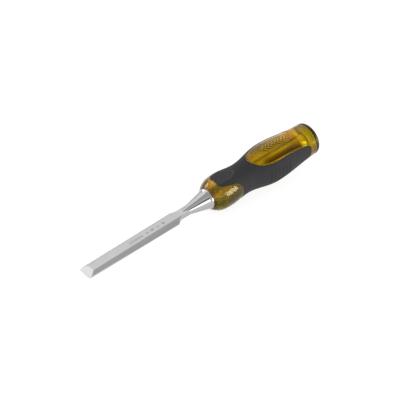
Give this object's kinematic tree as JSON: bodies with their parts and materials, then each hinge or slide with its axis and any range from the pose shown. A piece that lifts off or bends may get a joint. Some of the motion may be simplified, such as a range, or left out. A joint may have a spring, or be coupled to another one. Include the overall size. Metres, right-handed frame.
{
  "type": "bench chisel",
  "caption": "Bevel-edged bench chisel: full-length tang, conical bolster, clear amber handle core, black soft grip and dark steel strike cap.",
  "frame": {"origin": "middle of the cutting edge, on the blade's flat back", "axes": "+X along the tool from the cutting edge to the strike cap, +Z out of the bevelled side, so the flat back faces -Z"},
  "size_m": [0.238, 0.0352, 0.0344],
  "materials": {
    "blade_steel": "ground flat faces with a polished bolster",
    "amber_plastic": "glossy translucent amber",
    "soft_grip": "matte soft overmould",
    "cap_steel": "dark blackened steel"
  },
  "bodies": {
    "root": {"blade": "blade_steel", "handle_core": "amber_plastic", "grip": "soft_grip", "strike_cap": "cap_steel"}
  },
  "joints": []
}
